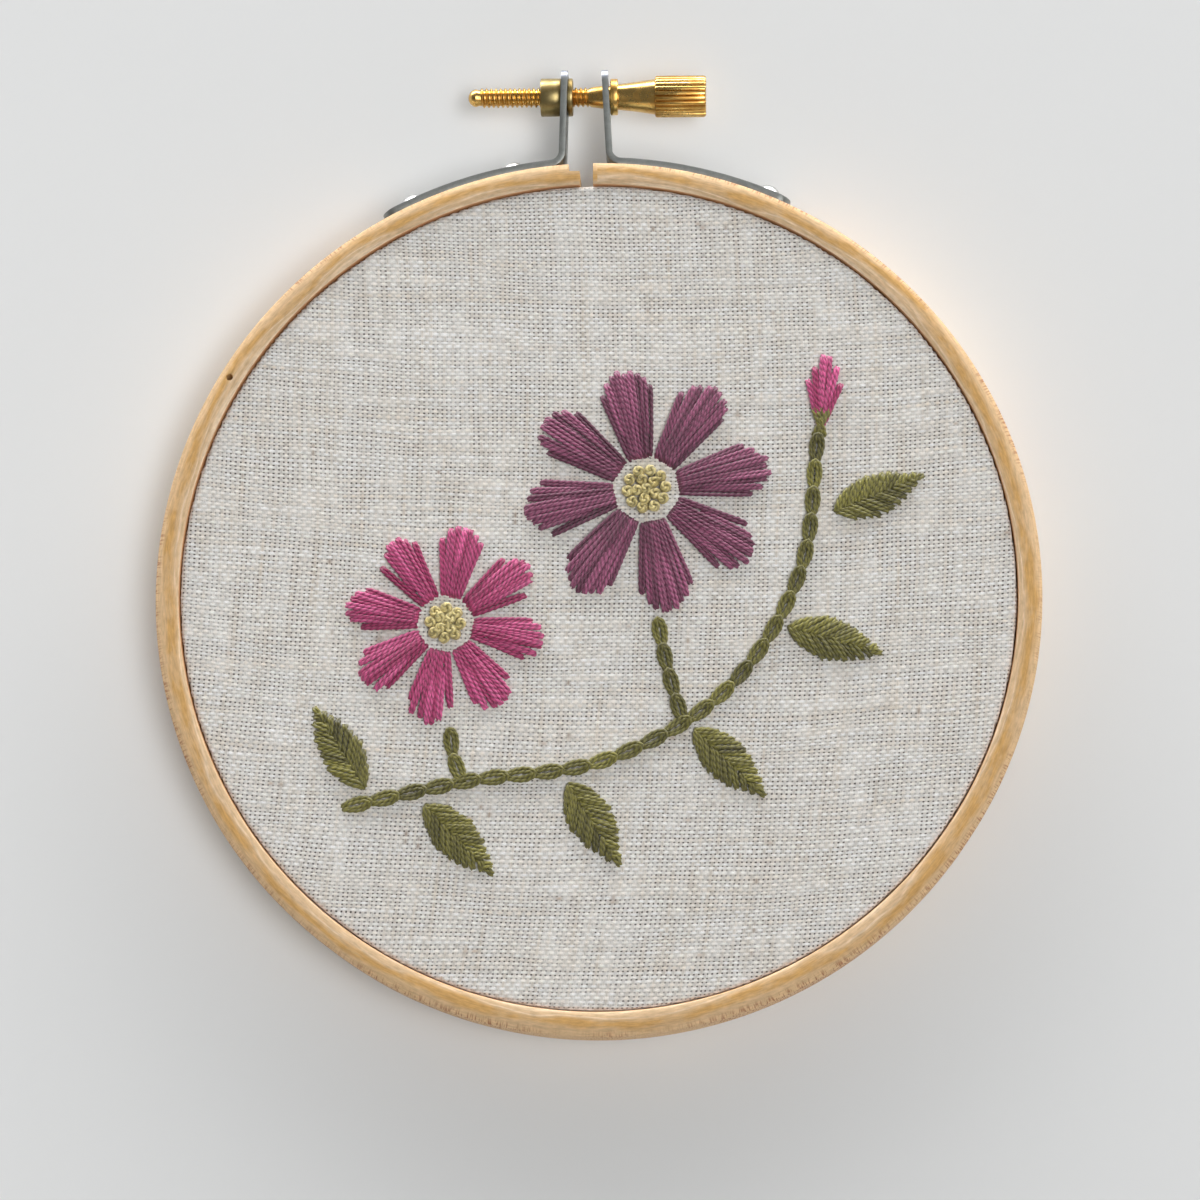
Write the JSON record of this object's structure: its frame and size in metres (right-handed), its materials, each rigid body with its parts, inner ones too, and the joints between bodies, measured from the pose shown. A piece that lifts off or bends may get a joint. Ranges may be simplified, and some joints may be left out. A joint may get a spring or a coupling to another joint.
{
  "type": "embroidered cloth in wooden hoop",
  "caption": "Natural linen stretched in a round beech hoop with a brass tightening screw, embroidered with a spray of plum and magenta blossoms on olive stems.",
  "frame": {"origin": "on the resting plane, under the middle of the part's outline, hoop and screw together", "axes": "+Z out of the stitched face, +Y towards the tightening screw, +X to the right as the face is seen"},
  "size_m": [0.1082, 0.1204, 0.0109],
  "materials": {
    "wood": "sanded bare beech, grain along the bend",
    "linen": "natural plain-weave linen, matte, flecked",
    "steel": "dull grey steel strap",
    "bright_steel": "bright rivet heads",
    "brass": "turned brass, slightly aged",
    "plum_thread": "stranded cotton, soft sheen",
    "magenta_thread": "stranded cotton, soft sheen",
    "straw_thread": "stranded cotton, soft sheen",
    "olive_thread": "stranded cotton, soft sheen"
  },
  "bodies": {
    "hoop": {"outer_hoop": "wood", "inner_hoop": "wood", "cloth": "linen", "lug_left": "steel", "lug_right": "steel", "rivet_left_near": "bright_steel", "rivet_left_far": "bright_steel", "rivet_right_near": "bright_steel", "rivet_right_far": "bright_steel", "nut": "brass", "petal_plum_1": "plum_thread", "petal_plum_2": "plum_thread", "petal_plum_3": "plum_thread", "petal_plum_4": "plum_thread", "petal_plum_5": "plum_thread", "petal_plum_6": "plum_thread", "petal_plum_7": "plum_thread", "petal_plum_8": "plum_thread", "heart_plum": "straw_thread", "petal_magenta_1": "magenta_thread", "petal_magenta_2": "magenta_thread", "petal_magenta_3": "magenta_thread", "petal_magenta_4": "magenta_thread", "petal_magenta_5": "magenta_thread", "petal_magenta_6": "magenta_thread", "petal_magenta_7": "magenta_thread", "petal_magenta_8": "magenta_thread", "heart_magenta": "straw_thread", "stem": "olive_thread", "bud": "magenta_thread", "leaf_1": "olive_thread", "leaf_2": "olive_thread", "leaf_3": "olive_thread", "leaf_4": "olive_thread", "leaf_5": "olive_thread", "leaf_6": "olive_thread"},
    "screw": {"screw": "brass"}
  },
  "joints": [
    {"name": "screw_turn", "type": "hinge", "parent": "hoop", "child": "screw", "pos_m": [0, 0.05765, 0.00475], "axis": [1, 0, 0], "continuous": true}
  ]
}
